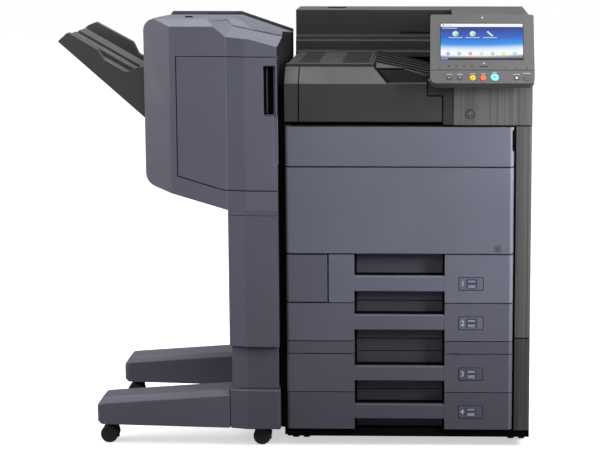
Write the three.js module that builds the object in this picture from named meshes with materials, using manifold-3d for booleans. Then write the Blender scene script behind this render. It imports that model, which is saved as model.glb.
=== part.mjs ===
// Floor-standing A3 office copier with a floor-standing finisher docked on its left side.
// Millimetres, +Z up, the front of the machine faces -Y. Sizes below are given in the
// machine's own frame: X from the middle of the copier, Y back from its front panels, Z up
// from the floor. SHIFT then puts the origin under the middle of the whole assembly.
import * as THREE from 'three';
import { ConvexGeometry } from 'three/addons/geometries/ConvexGeometry.js';
import { mergeVertices } from 'three/addons/utils/BufferGeometryUtils.js';
import Module from 'manifold-3d';

const wasm = await Module();
wasm.setup();

const SHIFT = [283.2, -270, 0];
const HALF = 301;              // half width of the copier
const DEPTH = 600;             // copier depth, front panels to the back of its base
const REAR_COVER = 598;        // back face of the rear covers
const HEIGHT = 1064;           // floor to the top housing
const DECK = 808;              // height where the slate lower body ends
const PANEL_RIGHT = 259;       // right edge of the front panels, left of the corner column
const SKIN = 20;               // thickness of the front panels
const CHANNEL = [-133, 90];    // left and right side of the drawer grip channel
const CHANNEL_DEPTH = 34;

// Bottom, top, grip bottom, grip top and left edge of each drawer front, top drawer first.
const DRAWERS = [
  [369.6, 489.3, 397.5, 437.2, -196],
  [273, 367, 300.4, 339.6, -HALF],
  [143.5, 238.8, 171.3, 209.8, -HALF],
  [48, 141.5, 74.2, 112.7, -HALF],
];

const PANEL = [53, 303];       // left and right edge of the touch panel
const PANEL_LENGTH = 187;      // bottom edge to top edge along its face
const PANEL_FOOT = [-60, 918]; // Y and Z of the bottom edge of its face
const PANEL_RISE = [0.541, 0.841];
const PANEL_THICK = 24;
const TILT_AXIS = [93, -38];   // tilt hinge: up the panel, and out from its face

const HEAD_LEFT = -648;        // finisher head
const HEAD_RIGHT = -317;
const COLUMN_LEFT = -442;
const HEAD_BACK = 510;
const HEAD_PEAK = 1065;
const ARC_STEP = Math.PI / 12;

const COLORS = {
  slate: [0x6a6a78, 0.55, 0.05],
  slate_dark: [0x4b4b57, 0.55, 0.05],
  charcoal: [0x404041, 0.6, 0.05],
  streaked: [0x6c6c6c, 0.45, 0.35],
  bezel: [0x7b7b7c, 0.5, 0.1],
  black: [0x1d1d1f, 0.6, 0.0],
  steel: [0x9a9a9c, 0.4, 0.8],
  tray: [0x515151, 0.6, 0.05],
  rubber: [0x141415, 0.85, 0.0],
  screen: [0x1f63b5, 0.15, 0.0],
  yellow: [0xd9b430, 0.4, 0.0],
  orange: [0xd9542a, 0.4, 0.0],
  cyan: [0x39a7c4, 0.4, 0.0],
};

const machine = new THREE.Group();
machine.name = 'photocopier';

/** Adds one named piece with its own material. */
function add(name, geometry, finish) {
  const [color, roughness, metalness] = COLORS[finish];
  const shape = geometry.clone().translate(...SHIFT);
  shape.computeVertexNormals();
  const mesh = new THREE.Mesh(shape, new THREE.MeshStandardMaterial({ color, roughness, metalness }));
  mesh.name = name;
  machine.add(mesh);
}

/** Box between two opposite corners. */
function block(x0, x1, y0, y1, z0, z1) {
  const box = new THREE.BoxGeometry(x1 - x0, y1 - y0, z1 - z0);
  return box.translate((x0 + x1) / 2, (y0 + y1) / 2, (z0 + z1) / 2);
}

/** Outline from corners [u, v, radius]; a corner with a radius becomes an arc. */
function outline(corners) {
  const points = [];
  corners.forEach(([u, v, radius = 0], i) => {
    const corner = new THREE.Vector2(u, v);
    if (!radius) {
      points.push(corner);
      return;
    }
    const before = corners[(i + corners.length - 1) % corners.length];
    const after = corners[(i + 1) % corners.length];
    const a = new THREE.Vector2(before[0], before[1]).sub(corner).normalize();
    const b = new THREE.Vector2(after[0], after[1]).sub(corner).normalize();
    const half = Math.acos(a.dot(b)) / 2;
    const centre = corner.clone().addScaledVector(a.clone().add(b).normalize(), radius / Math.sin(half));
    const start = corner.clone().addScaledVector(a, radius / Math.tan(half)).sub(centre);
    const end = corner.clone().addScaledVector(b, radius / Math.tan(half)).sub(centre);
    let sweep = end.angle() - start.angle();
    sweep -= 2 * Math.PI * Math.round(sweep / (2 * Math.PI));
    const steps = Math.max(2, Math.ceil(Math.abs(sweep) / ARC_STEP));
    for (let k = 0; k <= steps; k += 1) {
      const angle = start.angle() + (sweep * k) / steps;
      points.push(centre.clone().add(new THREE.Vector2(Math.cos(angle), Math.sin(angle)).multiplyScalar(radius)));
    }
  });
  return points;
}

/** Prism of an outline drawn in the plane across `axis`, from `low` to `high` along it. */
function prism(axis, corners, low, high) {
  const solid = new THREE.ExtrudeGeometry(new THREE.Shape(outline(corners)), {
    depth: high - low,
    bevelEnabled: false,
  });
  const basis = new THREE.Matrix4();
  const [x, y, z] = [new THREE.Vector3(1, 0, 0), new THREE.Vector3(0, 1, 0), new THREE.Vector3(0, 0, 1)];
  if (axis === 'x') {
    basis.makeBasis(y, z, x).setPosition(low, 0, 0);
  } else if (axis === 'y') {
    basis.makeBasis(x, z, y.negate()).setPosition(0, high, 0);
  } else {
    basis.setPosition(0, 0, low);
  }
  return solid.applyMatrix4(basis);
}

/** Round bar along an axis, `at` gives its other two coordinates in X, Y, Z order. */
function bar(axis, at, radius, low, high, sides = 20) {
  const corners = Array.from({ length: sides }, (_, k) => {
    const angle = (2 * Math.PI * (k + 0.5)) / sides;
    return [at[0] + radius * Math.cos(angle), at[1] + radius * Math.sin(angle)];
  });
  return prism(axis, corners, low, high);
}

/** Solid through a cloud of corner points. */
function hull(points) {
  return new ConvexGeometry(points.map((p) => new THREE.Vector3(...p)));
}

function toSolid(geometry) {
  const bare = geometry.clone();
  bare.deleteAttribute('normal');
  bare.deleteAttribute('uv');
  const merged = mergeVertices(bare, 1e-4);
  return new wasm.Manifold(new wasm.Mesh({
    numProp: 3,
    vertProperties: Float32Array.from(merged.attributes.position.array),
    triVerts: Uint32Array.from(merged.index.array),
  }));
}

function toGeometry(solid) {
  const { vertProperties, triVerts } = solid.getMesh();
  const geometry = new THREE.BufferGeometry();
  geometry.setAttribute('position', new THREE.BufferAttribute(Float32Array.from(vertProperties), 3));
  geometry.setIndex(new THREE.BufferAttribute(Uint32Array.from(triVerts), 1));
  return geometry;
}

function combine(operation, first, others) {
  const result = others.reduce((solid, other) => solid[operation](toSolid(other)), toSolid(first));
  return toGeometry(result);
}

const join = (first, ...others) => combine('add', first, others);
const cut = (first, ...others) => combine('subtract', first, others);
const common = (first, ...others) => combine('intersect', first, others);

// ---- Copier: base, covers and frame ----

/** Twin caster wheel on its own axle; the wheel axis lies along `axis`. */
function twinWheel(axis, x, y, radius) {
  const profile = [
    [0, -22], [radius - 2, -22], [radius, -20], [radius, -7], [radius - 2, -5], [4.5, -5],
    [4.5, 5], [radius - 2, 5], [radius, 7], [radius, 20], [radius - 2, 22], [0, 22],
  ];
  const wheel = new THREE.LatheGeometry(profile.map(([r, w]) => new THREE.Vector2(r, w)), 20);
  if (axis === 'x') wheel.rotateZ(Math.PI / 2);
  return wheel.translate(x, y, radius);
}

const wheelSpots = [[-272, 90], [272, 90], [-272, 520], [272, 520]];
let plinth = block(-HALF, HALF, 8, DEPTH, 27, 45);
wheelSpots.forEach(([x, y], i) => {
  plinth = cut(plinth, block(x - 30, x + 30, y - 28, y + 28, 20, 43));
  const hanger = cut(block(x - 3.5, x + 3.5, y - 12, y + 12, 9, 44), bar('x', [y, 20], 5.5, x - 5, x + 5));
  plinth = join(plinth, hanger);
  add(`main_wheel_${i + 1}`, twinWheel('x', x, y, 20), 'rubber');
});
const dockingFrame = join(
  block(-316.6, -301.4, 16, 60, 47, 905),
  block(-308, -301.4, 16, 60, 30, 48),
  block(-308, -HALF + 20, 16, 60, 28, 44),
);
add('base_plinth', join(plinth, dockingFrame), 'black');

const sideProfile = [[22, 45.5], [586, 45.5], [586, 939.5], [424, 939.5], [424, DECK - 1], [22, DECK - 1]];
add('left_side_cover', prism('x', sideProfile, -HALF, -HALF + 12), 'slate');

let frame = block(-HALF, HALF, 587, REAR_COVER, 45.5, 938);
for (const [z, front] of [[494, 26], [700, 26], [801, 21]]) {
  frame = join(frame, block(-288, 261, front, 588, z, z + 5));
}
add('main_frame', frame, 'slate_dark');

const columnPlan = [[263, 4], [HALF, 4, 8], [HALF, 60], [263, 60]];
const columnSeam = block(260, HALF + 3, 0, 7, 279, 281.5);
add('right_column', cut(prism('z', columnPlan, 45.5, DECK - 1), columnSeam), 'streaked');

const doorPlan = [[287, 61], [HALF, 61], [HALF, 585, 3], [287, 585]];
const bypassPocket = block(294, HALF + 2, 120, 460, 556, 764);
const bypassGrip = block(289, HALF + 2, 250, 330, 740, 790);
add('upper_right_door', cut(prism('z', doorPlan, 282, 800), bypassPocket, bypassGrip), 'slate');
add('lower_right_door', cut(prism('z', doorPlan, 48, 279), block(290, HALF + 2, 260, 340, 230, 262)), 'slate');
add('bypass_tray', block(294.6, HALF - 0.4, 121, 459, 557, 763), 'slate_dark');

// ---- Copier: drawers ----

/** Front panel with rounded upright edges between two heights. */
function frontPanel(left, right, z0, z1, edge = 14) {
  const plan = [[left, 0, left === -HALF ? 9 : 2], [right, 0, edge], [right, SKIN], [left, SKIN]];
  return prism('z', plan, z0, z1);
}

/** Front panel crossed by the recessed grip channel. */
function channelPanel(left, z0, z1) {
  const [a, b] = CHANNEL;
  const backing = block(a - 6, b + 6, SKIN - 1, CHANNEL_DEPTH + 6, z0, z1);
  return cut(join(frontPanel(left, PANEL_RIGHT, z0, z1), backing), block(a, b, -1, CHANNEL_DEPTH, z0 - 1, z1 + 1));
}

DRAWERS.forEach(([bottom, top, gripLow, gripHigh, left], i) => {
  const grip = prism('x', [
    [0.6, gripLow, 2], [0.6, gripHigh, 5], [9, gripHigh, 2], [9, gripLow + 6, 3],
    [CHANNEL_DEPTH + 1, gripLow + 6], [CHANNEL_DEPTH + 1, gripLow],
  ], CHANNEL[0] - 0.5, CHANNEL[1] + 0.5);
  add(`drawer_${i + 1}_front`, join(channelPanel(left, bottom, top), grip), i < 2 ? 'slate' : 'slate_dark');

  const inner = Math.max(left + 20, -278);
  const box = block(inner, 252, CHANNEL_DEPTH + 6.3, 510, bottom + 5, top - 6);
  const hollow = block(inner + 3, 249, CHANNEL_DEPTH + 10, 507, bottom + 8, top + 2);
  add(`drawer_${i + 1}_tray`, cut(box, hollow), 'steel');
});
add('mid_trim', channelPanel(-HALF, 241, 270.6), 'slate_dark');

// ---- Copier: front doors and switch cover ----

add('front_door', frontPanel(-HALF, PANEL_RIGHT, 492.5, 705), 'slate');
const coverGrip = block(253, 262, -1, 12, 746, 797);
add('upper_front_cover', cut(frontPanel(-HALF, PANEL_RIGHT, 708.5, 805), coverGrip), 'slate');
add('switch_cover', frontPanel(-HALF, -199, 371, 488, 2), 'slate');

// ---- Copier: working units behind the doors ----

let toner = block(-276, 236, 34, 420, 705.5, 713);
[-222, -110, 2, 130].forEach((x, i) => {
  toner = join(toner, bar('y', [x, 752], i === 3 ? 42 : 36, 40, 410), block(x - 9, x + 9, 42, 408, 710, 730));
});
add('toner_rack', toner, 'black');

const units = block(-270, 130, 40, 560, 499.5, 640);
const rail = (x) => block(x - 16, x + 16, 34, 556, 630, 684);
add('imaging_unit', join(units, ...[-220, -120, -20, 80].map(rail)), 'charcoal');
const fuserBody = block(150, 255, 60, 540, 499.5, 668);
add('fuser_unit', join(fuserBody, bar('y', [200, 590], 26, 36, 70)), 'steel');

// ---- Copier: bridge unit, output tray and raised housings ----

const bridgeProfile = [[0, 818], [0, 910], [45, 948], [60, 948], [60, 818]];
const bevelEnd = prism('y', [[-84, 1000], [-86, 948], [-51, 910.3], [200, 910.3], [200, 1000]], -5, 46);
const bevelGap = prism('y', [[-87, 1000], [-87, 948], [-52, 910], [-46, 910], [-81, 948], [-81, 1000]], -5, 57);
const lowEnd = prism('y', [[81.5, 800], [81.5, 879.5], [44.5, 879.5], [44.5, 1000], [200, 1000], [200, 800]], -5, 70);
const rimSlope = prism('y', [[-82, 1000], [-82, 940], [-3, 940], [53, 922], [200, 880], [200, 1000]], -5, 70);
const endSeam = block(-268.3, -265.3, -2, 4, 810, 955);
const bridgeCover = cut(prism('x', bridgeProfile, -HALF, 107), bevelEnd, bevelGap, lowEnd, rimSlope, endSeam);
add('bridge_front_cover', bridgeCover, 'charcoal');

const bridgeShape = [[-300, DECK + 0.5], [106, DECK + 0.5], [106, 894], [-86, 938], [-300, 938]];
add('bridge_unit', prism('y', bridgeShape, 60.5, 422), 'black');

let lid = join(block(-300, -88, 61, 408, 938.5, 950), block(-299, -89, 49, 64, 949, 955));
for (let y = 76; y < 400; y += 27) {
  lid = join(lid, block(-292, -92, y, y + 12, 949, 955));
}
add('bridge_lid', lid, 'charcoal');

let outputTray = prism('y', [[-86.5, 938.6], [104, 894.9], [104, 909], [-86.5, 953]], 61, 420);
for (const y of [61, 130, 200, 270, 340, 405]) {
  outputTray = join(outputTray, prism('y', [[-86.5, 940], [104, 896], [104, 914], [-86.5, 958]], y, y + 15));
}
const trayLip = hull([
  [-79, 48, 943.5], [-79, 62, 943.5], [-79, 62, 956], [-79, 48, 945],
  [-9, 48, 943.5], [-9, 62, 941], [-9, 62, 943], [-9, 48, 944.5],
]);
add('output_tray', join(outputTray, trayLip), 'tray');

const rearProfile = [
  [REAR_COVER, 940], [REAR_COVER, HEIGHT], [445, HEIGHT], [445, 997], [438, 994], [438, 985],
  [432, 982], [432, 957], [425, 954], [425, 940],
];
const rearSlot = block(-25, 90, 440, 451, 998.5, 1004);
const topRecess = block(-226, -178, 505, 588, HEIGHT - 6, HEIGHT + 5);
add('rear_housing', cut(prism('x', rearProfile, -305, 106.5), rearSlot, topRecess), 'charcoal');

/** Turns a shape drawn flat (X, up the panel, out from its face) into the tilted panel frame. */
function onPanel(shape) {
  const [ry, rz] = PANEL_RISE;
  const basis = new THREE.Matrix4().makeBasis(
    new THREE.Vector3(1, 0, 0),
    new THREE.Vector3(0, ry, rz),
    new THREE.Vector3(0, -rz, ry),
  );
  return shape.applyMatrix4(basis.setPosition(0, ...PANEL_FOOT));
}

const POWER = [150, 837];
const towerProfile = [
  [12, 810], [12, 930], [98, HEIGHT], [REAR_COVER, HEIGHT], [REAR_COVER, 940], [586, 940], [586, 810],
];
const [tiltUp, tiltOut] = TILT_AXIS;
const earBlank = (x) => onPanel(join(
  block(x, x + 14, tiltUp - 10, tiltUp + 10, -60, tiltOut),
  bar('x', [tiltUp, tiltOut], 10, x, x + 14),
));
const earBore = onPanel(bar('x', [tiltUp, tiltOut], 5.6, 120, 236));
const innerCheek = join(block(84.5, 108, 1, 59, 811, 918), block(47.5, 90, 1, 59, 882.5, 918));
let tower = join(prism('x', towerProfile, 107, HALF), earBlank(128), earBlank(214), innerCheek);
tower = cut(tower, earBore, bar('y', POWER, 12, 0, 24));
add('tower_housing', tower, 'charcoal');
add('tower_front_plate', cut(block(110, HALF, 0, 11.6, 810, 914), bar('y', POWER, 11.6, -2, 20)), 'streaked');
add('power_button', join(bar('y', POWER, 10.8, -1.2, 14), bar('y', POWER, 5, 13, 19)), 'streaked');

// ---- Copier: tilting touch panel and its keys (drawn flat, then turned) ----

const [panelLeft, panelRight] = PANEL;
const panelPlan = [
  [panelLeft, 0, 15], [panelRight, 0, 15], [panelRight, PANEL_LENGTH, 5], [panelLeft, PANEL_LENGTH, 5],
];
const KEYS = [
  ['key_program', 98.5, 14.5, 5.5, 'bezel'],
  ['key_home', 124, 14.5, 5.5, 'bezel'],
  ['key_reset', 154.5, 14.5, 7.5, 'yellow'],
  ['key_stop', 180, 14.5, 7.5, 'orange'],
  ['key_start', 207, 16, 10, 'cyan'],
  ['key_login', 284, 15, 9, 'black'],
];
const screenHole = block(76.4, 277.6, 62.4, 163.6, -6, 2);
const splitLine = block(panelLeft - 1, panelRight + 1, 34.8, 36.2, -1.5, 2);
const keyHoles = KEYS.map(([, x, v, r]) => bar('z', [x, v], r + 0.5, -9, 2));
let housing = prism('z', panelPlan, -PANEL_THICK, 0);
housing = cut(housing, screenHole, splitLine, ...keyHoles);
housing = join(
  housing,
  block(150, 206, tiltUp - 8, tiltUp + 8, tiltOut, -PANEL_THICK + 1),
  bar('x', [tiltUp, tiltOut], 9, 143, 213),
  bar('x', [tiltUp, tiltOut], 5, 129, 227),
);
add('panel_housing', onPanel(housing), 'bezel');
add('touch_screen', onPanel(block(76.8, 277.2, 62.8, 163.2, -5.6, -0.4)), 'screen');
KEYS.forEach(([name, x, v, r, finish]) => {
  const cap = bar('z', [x, v], r, -5.6, 1.4, 16);
  add(name, onPanel(join(cap, bar('z', [x, v], r * 0.45, -7.6, -5, 12))), finish);
});

// ---- Finisher: head, door and top cover ----

const headPlan = [
  [HEAD_LEFT, 44], [-579, 0], [COLUMN_LEFT, 0], [-397.5, -12], [HEAD_RIGHT, -12],
  [HEAD_RIGHT, HEAD_BACK], [HEAD_LEFT, HEAD_BACK, 20],
];
const headFront = [
  [HEAD_LEFT, 661, 32], [COLUMN_LEFT, 599], [HEAD_RIGHT, 599], [HEAD_RIGHT, HEAD_PEAK], [HEAD_LEFT, HEAD_PEAK, 30],
];
const headSide = [
  [-13, 590], [-13, 1046], [0, 1048], [25, HEAD_PEAK], [497, 1047], [500, 1056], [HEAD_BACK, 1056],
  [HEAD_BACK, 590],
];
const farRight = HEAD_RIGHT + 17;
const ABOVE = HEAD_PEAK + 35;
const widePlan = headPlan.map(([x, ...rest]) => [x === HEAD_RIGHT ? farRight : x, ...rest]);
const wideFront = headFront.map(([x, ...rest]) => [x === HEAD_RIGHT ? farRight : x, ...rest]);
let wideHead = common(
  prism('z', widePlan, 590, HEAD_PEAK + 5),
  prism('y', wideFront, -20, HEAD_BACK + 5),
  prism('x', headSide, HEAD_LEFT - 5, farRight + 5),
);

// The right half of the top falls away in three facets; each tool clears the space above one of them.
const rearFacet = hull([
  [-465, 140, 1064], [-467, 500, 1052], [farRight, 140, 1023], [farRight, 500, 995],
  [-465, 140, ABOVE], [-467, 500, ABOVE], [farRight, 140, ABOVE], [farRight, 500, ABOVE],
]);
const rimFacet = prism('y', [[-467, 1060], [farRight, 1003], [farRight, ABOVE], [-467, ABOVE]], 499, 520);
const shelfLeft = hull([
  [-444, -14, 1022.5], [-386, -14, 1018.5], [-439, 148, 1039], [-384, 148, 1027],
  [-537, -14, ABOVE], [-386, -14, ABOVE], [-485, 209, ABOVE], [-384, 209, ABOVE],
]);
const shelfRight = hull([
  [-386, -14, 1018.5], [farRight, -14, 995], [-384, 148, 1027], [farRight, 148, 1010],
  [-386, -14, ABOVE], [farRight, -14, ABOVE], [-384, 209, ABOVE], [farRight, 209, ABOVE],
]);
wideHead = cut(wideHead, rearFacet, rimFacet, shelfLeft, shelfRight);
const head = common(wideHead, block(HEAD_LEFT - 5, HEAD_RIGHT, -20, HEAD_BACK + 5, 580, ABOVE));

/** Outline of the top cover seen from above, grown by `gap`, wider below the lip, reaching `right`. */
function coverPlan(gap, right) {
  const plan = [
    [-545 - gap, 47 - gap], [-479 + gap, 47 - gap], [-456 + gap, 151 - 2 * gap], [right, 151 - 2 * gap],
    [right, 497 + gap], [-545 - gap, 497 + gap],
  ];
  return prism('z', plan, 960, HEAD_PEAK + 8);
}
const lowered = (depth) => wideHead.clone().translate(0, 0, -depth);
const coverPocket = cut(coverPlan(1.6, farRight - 5), lowered(12.6));

const doorShape = (edge) => [
  [-563 - edge, 684 - edge], [-456 - edge, 651 - edge], [COLUMN_LEFT, 649 - edge],
  [HEAD_RIGHT + 3, 649 - edge], [HEAD_RIGHT + 3, 974.6 + edge], [-563 - edge, 974.6 + edge],
];
const doorway = prism('y', doorShape(2), -30, 22);
const cavityPlan = [
  [HEAD_LEFT + 14, 62], [-572, 23], [HEAD_RIGHT - 12, 23], [HEAD_RIGHT - 12, 494], [HEAD_LEFT + 14, 494],
];
const cavity = prism('z', cavityPlan, 700, 962);
const exitSlot = block(HEAD_LEFT - 5, HEAD_LEFT + 20, 110, 400, 925, 955);
const lowCore = block(COLUMN_LEFT + 12, HEAD_RIGHT - 12, 40, 490, 590, 690);
add('finisher_body', cut(head, doorway, cavity, exitSlot, lowCore, coverPocket), 'slate');
add('finisher_top_cover', cut(common(wideHead, coverPlan(0, HEAD_RIGHT)), lowered(12)), 'slate');

const doorBlank = common(prism('z', headPlan, 640, 980), prism('y', doorShape(0), -20, SKIN));
const doorGrip = block(-351, HEAD_RIGHT - 4, -20, 7, 832, 954);
const doorNotch = block(-327, HEAD_RIGHT + 5, -20, 5, 714, 832);
add('finisher_door', cut(doorBlank, doorGrip, doorNotch), 'slate');

const stapler = join(
  block(HEAD_LEFT + 14.4, HEAD_RIGHT - 12.4, 66, 480, 800, 808),
  block(-600, -500, 70, 190, 807, 900),
  block(-585, -515, 62, 100, 899, 924),
  block(-470, -360, 80, 440, 807, 850),
  bar('y', [-415, 880], 22, 60, 460),
  block(-425, -405, 70, 450, 849, 870),
);
add('stapler_unit', stapler, 'steel');

// ---- Finisher: column, base and feet ----

const columnPlanLeft = [
  [COLUMN_LEFT, 0], [-397.5, -12], [HEAD_RIGHT, -12], [HEAD_RIGHT, HEAD_BACK], [COLUMN_LEFT, HEAD_BACK],
];
const columnLine = block(COLUMN_LEFT - 2, HEAD_RIGHT + 2, -20, 1.2, 586.2, 587.6);
add('finisher_column', cut(prism('z', columnPlanLeft, 258.4, 598.6), columnLine), 'slate');
add('column_sleeve', block(-437, -321, 2, 505, 148.9, 258), 'slate_dark');
add('base_beam', prism('z', columnPlanLeft, 48, 148.5), 'slate');

/** Long foot with bevelled upper edges, rising toward the column. */
function foot(y0, y1) {
  const right = COLUMN_LEFT - 0.3;
  return hull([
    [-776, y0 + 8, 62], [-776, y1 - 8, 62], [-776, y0 + 8, 104], [-776, y1 - 8, 104],
    [-768, y0, 56], [-768, y1, 56], [-768, y0, 108], [-768, y1, 108],
    [-762, y0 + 14, 121.5], [-762, y1 - 14, 121.5],
    [right, y0, 48], [right, y1, 48], [right, y0, 131], [right, y1, 131],
    [right, y0 + 14, 144.5], [right, y1 - 14, 144.5],
  ]);
}
add('front_foot', foot(0, 100), 'slate');
add('rear_foot', foot(408, 508), 'slate');

const casters = [[-738, 50], [-352, 40], [-738, 458], [-352, 458]];
casters.forEach(([x, y], i) => {
  const under = i % 2 === 0 ? 53.5 : 47.6;
  const fork = join(
    bar('z', [x, y], 17, 45, 47.6),
    block(x - 24, x + 8, y - 3.5, y + 3.5, 10, 46),
    bar('z', [x, y], 9, 46, under),
  );
  add(`finisher_fork_${i + 1}`, cut(fork, bar('y', [x - 14, 22], 5.5, y - 6, y + 6)), 'steel');
  add(`finisher_wheel_${i + 1}`, twinWheel('y', x - 14, y, 22), 'rubber');
});

// ---- Finisher: stacking tray ----

const wall = [
  [-871, 1004, 3], [-846, 1026, 5], [-774, 984, 6], [-756, 956], [-738, 938], [-716, 929], [-696, 930],
  [-672, 940], [-650.5, 942], [-650.5, 808],
];
const finWall = [
  [-871, 1004, 3], [-846, 1026, 5], [-826, 1034, 4], [-730, 982, 8], [-716, 952], [-650.5, 915], [-650.5, 808],
];
const plate = [[-866, 1004], [-852, 1013], [-650.5, 897], [-650.5, 882]];
const groove = [[-866, 1004], [-846, 1021], [-650.5, 908], [-650.5, 890]];
const stackTray = join(
  prism('y', plate, 106, 404),
  prism('y', wall, 105, 131),
  prism('y', finWall, 380, 405),
  prism('y', groove, 160, 215),
  prism('y', groove, 255, 345),
  prism('y', [[-866, 1000], [-650.5, 888], [-650.5, 808]], 250, 258),
);
add('stacking_tray', stackTray, 'tray');

export default machine;
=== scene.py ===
# %% [markdown]
# # A floor-standing copier with a docked finisher
#
# An office copier stands on four low casters. Its lower body is slate grey: four paper drawers,
# a big front door and a cover above it. The upper housings are charcoal. A finisher with a
# sloping stacking tray stands on its left, on two long feet. The CAD frame already holds every
# cover at its true size. This lesson rounds the edges, makes the plastics and metals, and adds
# the small things that the frame leaves plain: labels, the lit display, icons, grilles, screws.

import math

import bpy
import numpy as np
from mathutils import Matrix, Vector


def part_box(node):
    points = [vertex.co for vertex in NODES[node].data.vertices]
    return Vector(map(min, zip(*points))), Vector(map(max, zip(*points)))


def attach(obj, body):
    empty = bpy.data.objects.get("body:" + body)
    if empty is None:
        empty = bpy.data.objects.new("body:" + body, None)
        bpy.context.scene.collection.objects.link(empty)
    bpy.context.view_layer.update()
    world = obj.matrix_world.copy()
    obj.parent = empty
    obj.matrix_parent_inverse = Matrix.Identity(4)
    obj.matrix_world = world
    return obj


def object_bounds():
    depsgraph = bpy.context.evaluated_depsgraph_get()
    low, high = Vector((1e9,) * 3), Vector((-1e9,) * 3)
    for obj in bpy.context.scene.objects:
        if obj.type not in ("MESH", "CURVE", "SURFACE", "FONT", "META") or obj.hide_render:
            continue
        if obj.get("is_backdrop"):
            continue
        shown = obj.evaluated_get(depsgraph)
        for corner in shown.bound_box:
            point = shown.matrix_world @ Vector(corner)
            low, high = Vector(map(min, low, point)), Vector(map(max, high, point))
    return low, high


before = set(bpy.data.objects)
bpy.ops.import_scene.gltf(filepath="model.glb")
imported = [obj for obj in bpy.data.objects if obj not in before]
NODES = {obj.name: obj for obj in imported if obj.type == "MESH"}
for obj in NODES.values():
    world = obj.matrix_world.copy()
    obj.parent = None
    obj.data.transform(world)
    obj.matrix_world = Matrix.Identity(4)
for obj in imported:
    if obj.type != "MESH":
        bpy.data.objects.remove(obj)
cad_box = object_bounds()
MM = 0.001
print("pieces in the frame:", len(NODES))


# %% [markdown]
# ## Edges
#
# Moulded covers never end in a knife edge. The tool has a radius, and that radius catches the
# light as the thin bright line which shows where one cover stops and the next begins. A bevel
# that follows the sharp angles alone gives that line without touching the flat faces. The finisher
# is folded from flat facets that meet at only 15 degrees, so there the bevel starts at 9 degrees.
# Normals weighted by face area keep the big faces flat and leave the turn to the narrow bevels.

# %%
# Rounded edges for the frame's pieces
EDGE_RADIUS_MM = {
    "drawer_": 2.0, "front_door": 2.2, "upper_front_cover": 2.2, "switch_cover": 1.6, "mid_trim": 1.6,
    "finisher_door": 2.0, "finisher_body": 3.0, "finisher_top": 3.2, "finisher_column": 2.2,
    "column_sleeve": 2.2, "base_beam": 3.0, "front_foot": 4.5, "rear_foot": 4.5, "stacking": 2.6,
    "panel_housing": 1.8, "tower_housing": 2.5, "tower_front": 0.9, "rear_housing": 2.4,
    "bridge_front": 1.8, "key_": 0.5, "power_button": 0.7, "touch_screen": 0.3, "right_column": 1.5,
    "upper_right": 2.0, "lower_right": 2.0, "left_side": 2.0, "main_wheel": 1.2, "finisher_wheel": 1.2,
}
DEFAULT_EDGE_MM = 0.8
BEVEL_SEGMENTS = 3
SHARP_DEGREES = 24
FACET_DEGREES = 9
FACETED = (
    "finisher_body", "finisher_door", "finisher_top", "finisher_column", "base_beam",
    "front_foot", "rear_foot",
)


def round_edges(piece, radius_mm, sharp_degrees):
    """Joins doubled corner points, then rounds every edge sharper than the given angle."""
    weld = piece.modifiers.new("weld", "WELD")
    weld.merge_threshold = 1e-5
    bevel = piece.modifiers.new("rounding", "BEVEL")
    bevel.width = radius_mm * MM
    bevel.segments = BEVEL_SEGMENTS
    bevel.limit_method = "ANGLE"
    bevel.angle_limit = math.radians(sharp_degrees)
    bevel.use_clamp_overlap = True
    flats = piece.modifiers.new("flats", "WEIGHTED_NORMAL")
    flats.mode = "FACE_AREA"
    flats.weight = 80
    for face in piece.data.polygons:
        face.use_smooth = True


for name, node in NODES.items():
    sizes = [size for key, size in EDGE_RADIUS_MM.items() if name.startswith(key)]
    sharp = FACET_DEGREES if name.startswith(FACETED) else SHARP_DEGREES
    round_edges(node, sizes[0] if sizes else DEFAULT_EDGE_MM, sharp)
print("rounded:", len(NODES))


# %% [markdown]
# ## Plastics and metals
#
# The covers are injection-moulded with a spark-eroded texture: a fine, even pebble that scatters
# the light. Colour barely changes across one cover, yet it is never perfectly flat: dust, hands and
# cleaning leave broad faint clouds and small changes in gloss. Every surface here is built from the
# same three layers, at different sizes: broad clouds, fine grain, and a bump from that grain.

# %%
# A small kit for building materials
def srgb(r, g, b):
    """A screen colour from 0 to 255 as the linear colour that Blender mixes."""
    channels = np.array([r, g, b]) / 255.0
    linear = np.where(channels <= 0.04045, channels / 12.92, ((channels + 0.055) / 1.055) ** 2.4)
    return (*linear.tolist(), 1.0)


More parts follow.
